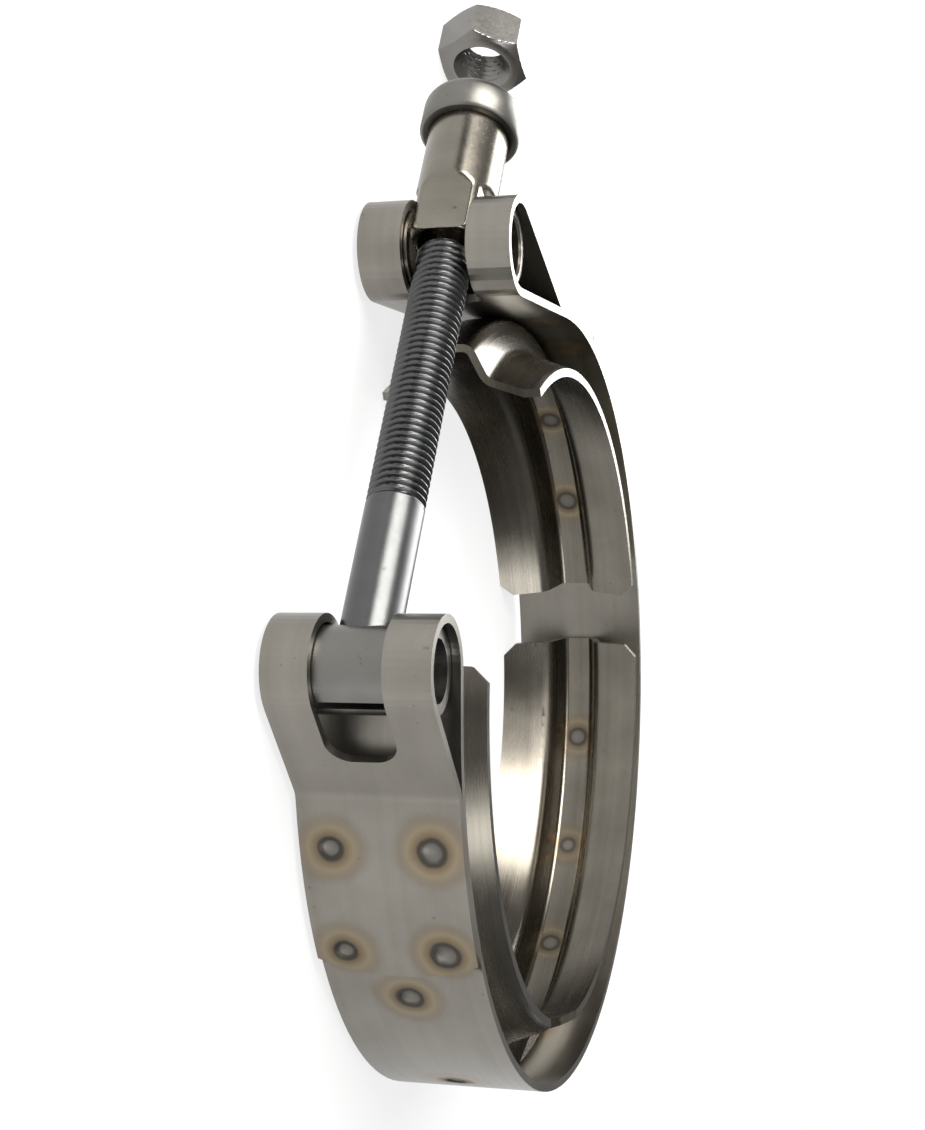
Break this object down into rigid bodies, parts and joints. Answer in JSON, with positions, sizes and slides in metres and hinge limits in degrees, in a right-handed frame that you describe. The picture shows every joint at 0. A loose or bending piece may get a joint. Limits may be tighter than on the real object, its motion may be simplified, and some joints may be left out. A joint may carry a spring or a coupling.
{
  "type": "v band clamp",
  "caption": "V-band pipe clamp: a folded sheet strap with V-section retainers inside, drawn together by a T-bolt through a trunnion sleeve, shown open with its nut off.",
  "frame": {"origin": "centre of the ring, half way across the strap, in the plane of the V groove", "axes": "+Z along the pipe's axis, square to the ring; +X towards the T-bolt's loop side; the T-bolt spans the opening between the angles -9 and -70 degrees about Z"},
  "size_m": [0.1305, 0.1675, 0.0238],
  "materials": {
    "strap_steel": "satin stainless sheet, brushed along its length, with heat-tinted spot welds",
    "retainer_steel": "bright rolled stainless sheet",
    "bolt_steel": "drawn stainless shank with a rolled fine thread",
    "barrel_steel": "rolled stainless tube, satin",
    "sleeve_steel": "turned stainless steel, satin",
    "collar_steel": "dull grey pressed steel",
    "nut_steel": "plain grey machined steel"
  },
  "bodies": {
    "band": {"band_strap": "strap_steel", "retainer_front": "retainer_steel", "retainer_bottom": "retainer_steel", "retainer_top": "retainer_steel", "hex_nut": "nut_steel"},
    "bolt": {"t_bolt": "bolt_steel", "bolt_barrel": "barrel_steel"},
    "trunnion": {"trunnion_barrel": "barrel_steel", "trunnion_sleeve": "sleeve_steel", "sleeve_collar": "collar_steel"}
  },
  "joints": [
    {"name": "bolt_swing", "type": "hinge", "parent": "band", "child": "bolt", "pos_m": [0.06443, -0.01061, 0], "axis": [0, 0, 1], "range_deg": [0, 165]},
    {"name": "sleeve_swing", "type": "hinge", "parent": "band", "child": "trunnion", "pos_m": [0.02436, -0.06621, 0], "axis": [0, 0, 1], "range_deg": [-8, 30]}
  ]
}
